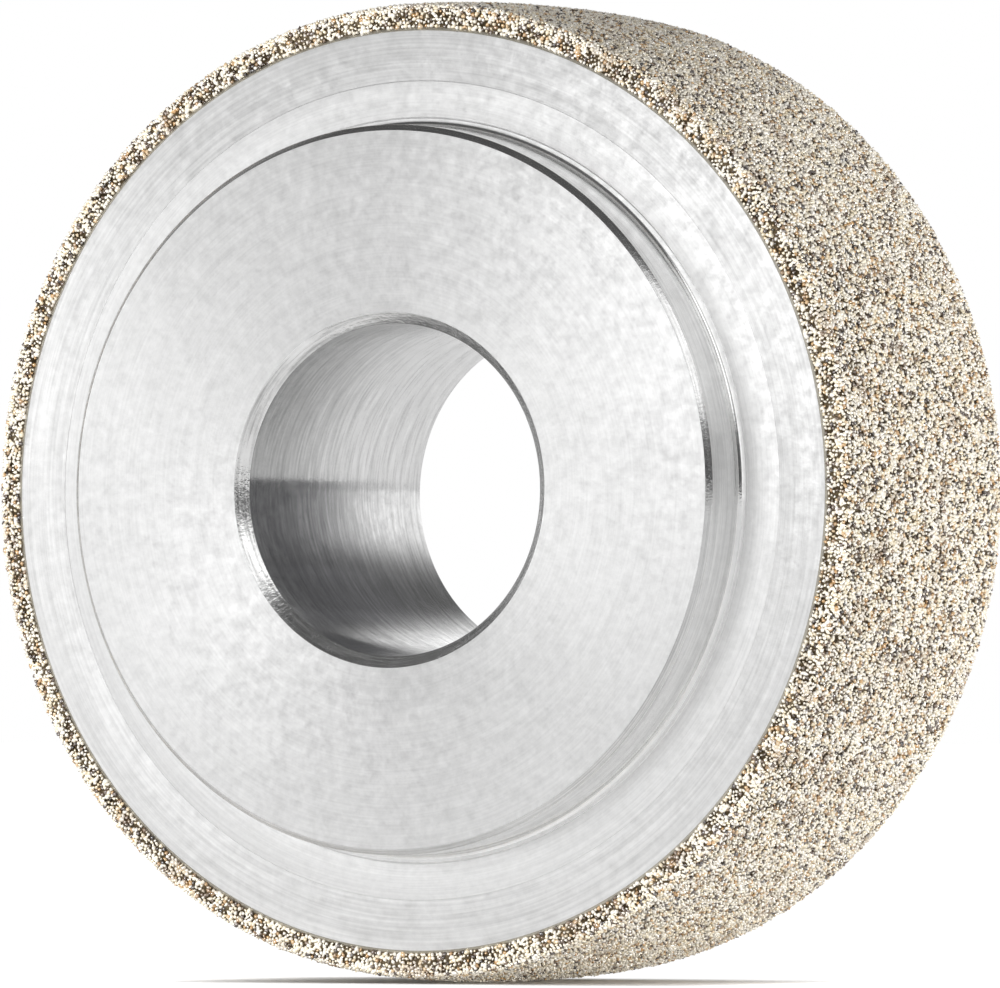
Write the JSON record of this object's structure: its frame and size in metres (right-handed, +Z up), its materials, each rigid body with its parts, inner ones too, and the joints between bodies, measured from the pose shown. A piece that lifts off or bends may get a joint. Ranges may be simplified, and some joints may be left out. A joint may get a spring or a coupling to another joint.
{
  "type": "diamond grinding wheel",
  "caption": "Small crowned grinding wheel: a turned aluminium core with a plain bore and a raised clamping boss, its rim plated with diamond grit.",
  "frame": {"origin": "middle of the wheel's overall box, on the axis it spins about", "axes": "+Y along the spin axis, from the boss to the back of the rim; the boss faces -Y; +Z up"},
  "size_m": [0.06, 0.0244, 0.06],
  "materials": {
    "turned_aluminium": "satin",
    "nickel_plate": "satin",
    "diamond_grit": "matte"
  },
  "bodies": {
    "root": {"wheel_core": "turned_aluminium", "nickel_bond": "nickel_plate", "diamond_grit": "diamond_grit"}
  },
  "joints": []
}
